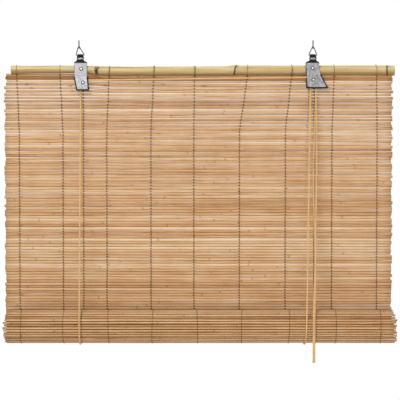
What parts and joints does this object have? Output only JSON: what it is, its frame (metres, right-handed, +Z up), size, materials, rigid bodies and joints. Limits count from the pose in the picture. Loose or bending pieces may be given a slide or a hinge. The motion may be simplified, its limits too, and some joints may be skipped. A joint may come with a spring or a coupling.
{
  "type": "bamboo roll up blind",
  "caption": "Split-bamboo roll-up blind hung on screw hooks and wire rings from a bamboo head pole, with cord slings, pulley, cord lock and pull cords.",
  "frame": {"origin": "on the ceiling plane, midway between the two hook screws", "axes": "+X to the right along the head pole, +Z up along the hook screws, the room side faces -Y"},
  "size_m": [0.803, 0.0789, 0.6572],
  "materials": {
    "bamboo_culm": "smooth dried bamboo",
    "bamboo_slats": "split bamboo, uneven tan",
    "olive_twine": "twisted twine",
    "brown_thread": "waxed thread",
    "tan_cord": "twisted cotton cord",
    "black_steel": "semi-gloss black",
    "zinc_plate": "zinc-plated sheet",
    "bright_steel": "bright rivet steel",
    "hook_steel": "dark oxidised steel",
    "ring_steel": "grey wire",
    "pulley_nylon": "off-white moulded"
  },
  "bodies": {
    "hooks": {"left_ceiling_hook": "hook_steel", "right_ceiling_hook": "hook_steel"},
    "rings": {"left_wire_ring": "ring_steel", "right_wire_ring": "ring_steel"},
    "head": {"head_pole": "bamboo_culm", "pole_ties": "olive_twine", "screen_slats": "bamboo_slats", "warp_threads": "brown_thread", "left_hanger": "black_steel", "right_hanger": "black_steel", "left_pulley_housing": "zinc_plate", "left_back_plate": "black_steel", "left_pulley_axle": "bright_steel", "left_pole_screw": "bright_steel", "cord_lock_housing": "zinc_plate", "cord_lock_back_plate": "black_steel", "cord_lock_axle": "bright_steel", "right_pole_screw": "bright_steel", "left_lift_cord": "tan_cord", "right_lift_cord": "tan_cord", "left_back_cord": "tan_cord", "right_back_cord": "tan_cord", "left_cord_knot": "tan_cord", "right_cord_knot": "tan_cord", "left_pull_cord": "tan_cord", "right_pull_cord": "tan_cord"},
    "left_pulley": {"left_pulley": "pulley_nylon"},
    "lock_front_pulley": {"lock_front_pulley": "pulley_nylon"},
    "lock_back_pulley": {"lock_back_pulley": "pulley_nylon"},
    "lock_roller": {"lock_roller": "bright_steel"},
    "slings": {"left_sling_cord": "tan_cord", "right_sling_cord": "tan_cord"},
    "roll": {"rolled_screen": "bamboo_slats", "bottom_rod": "bamboo_culm"}
  },
  "joints": [
    {"name": "ring_swing", "type": "hinge", "parent": "hooks", "child": "rings", "pos_m": [0, 0, -0.00655], "axis": [1, 0, 0], "range_deg": [-35, 35]},
    {"name": "head_swing", "type": "hinge", "parent": "rings", "child": "head", "pos_m": [0, 0, -0.023], "axis": [1, 0, 0], "range_deg": [-35, 35]},
    {"name": "left_pulley_turn", "type": "hinge", "parent": "head", "child": "left_pulley", "pos_m": [-0.2318, 0.00403, -0.07858], "axis": [0, 0.9991, 0.0419], "continuous": true},
    {"name": "lock_front_pulley_turn", "type": "hinge", "parent": "head", "child": "lock_front_pulley", "pos_m": [0.24075, 0.00164, -0.07297], "axis": [0, 0.9991, 0.0419], "continuous": true},
    {"name": "lock_back_pulley_turn", "type": "hinge", "parent": "head", "child": "lock_back_pulley", "pos_m": [0.24075, 0.00564, -0.07281], "axis": [0, 0.9991, 0.0419], "continuous": true},
    {"name": "lock_roller_slide", "type": "slide", "parent": "head", "child": "lock_roller", "axis": [0.2419, -0.0406, 0.9694], "range_m": [0, 0.007]},
    {"name": "roll_lift", "type": "slide", "parent": "head", "child": "slings", "axis": [0, -0.0419, 0.9991], "range_m": [0, 0.43], "deforming": ["left_lift_cord", "right_lift_cord", "left_back_cord", "right_back_cord", "left_pull_cord", "right_pull_cord", "screen_slats", "warp_threads"]},
    {"name": "roll_turn", "type": "hinge", "parent": "slings", "child": "roll", "pos_m": [0.01, -0.00394, -0.57865], "axis": [-1, 0, 0], "range_deg": [0, 720]}
  ],
  "couplings": [
    {"joint": "roll_turn", "follows": "roll_lift", "rad_per_m": 29.22}
  ]
}
